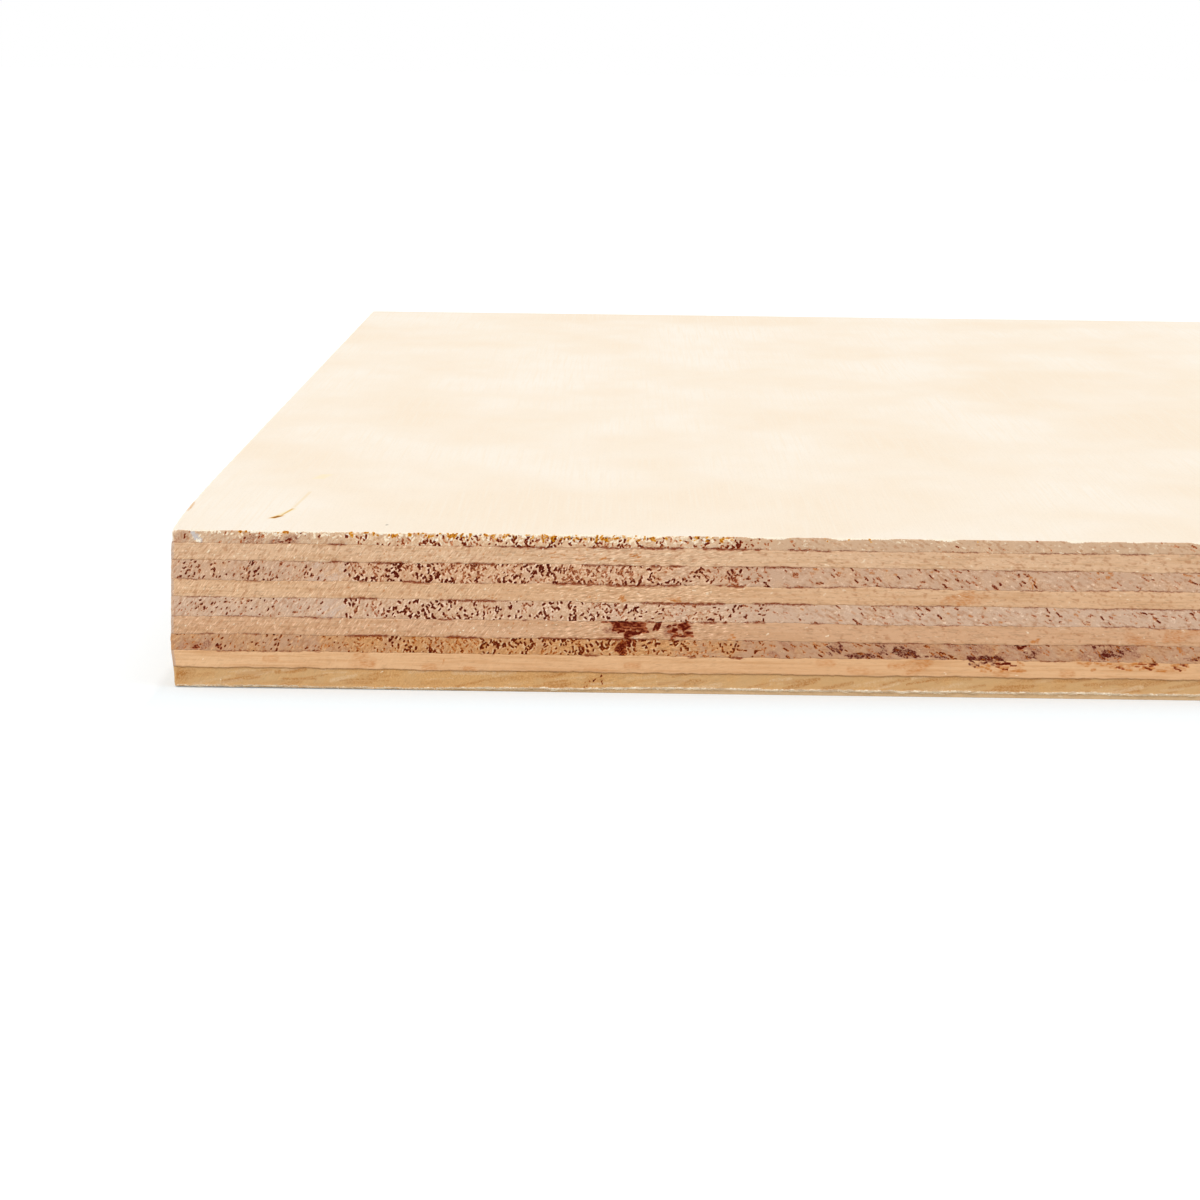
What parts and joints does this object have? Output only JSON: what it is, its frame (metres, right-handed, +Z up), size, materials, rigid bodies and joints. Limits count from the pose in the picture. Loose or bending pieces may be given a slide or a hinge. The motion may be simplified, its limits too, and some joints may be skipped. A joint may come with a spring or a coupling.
{
  "type": "plywood sheet",
  "caption": "Flat plywood sheet of glued crossed veneers with sawn edges, for floors, walls, shelves and furniture.",
  "frame": {"origin": "centre of the underside, on the surface that the sheet lies on", "axes": "+Z up through the thickness, +Y along the length and the grain of the face, +X across the width"},
  "size_m": [0.61, 0.61, 0.018],
  "materials": {
    "face_ply": "matte",
    "cross_ply_2": "matte",
    "long_ply_3": "matte",
    "cross_ply_4": "matte",
    "centre_ply_5": "matte",
    "cross_ply_6": "matte",
    "long_ply_7": "matte",
    "cross_ply_8": "matte",
    "back_ply": "matte"
  },
  "bodies": {
    "root": {"face_ply": "face_ply", "cross_ply_2": "cross_ply_2", "long_ply_3": "long_ply_3", "cross_ply_4": "cross_ply_4", "centre_ply_5": "centre_ply_5", "cross_ply_6": "cross_ply_6", "long_ply_7": "long_ply_7", "cross_ply_8": "cross_ply_8", "back_ply": "back_ply"}
  },
  "joints": []
}
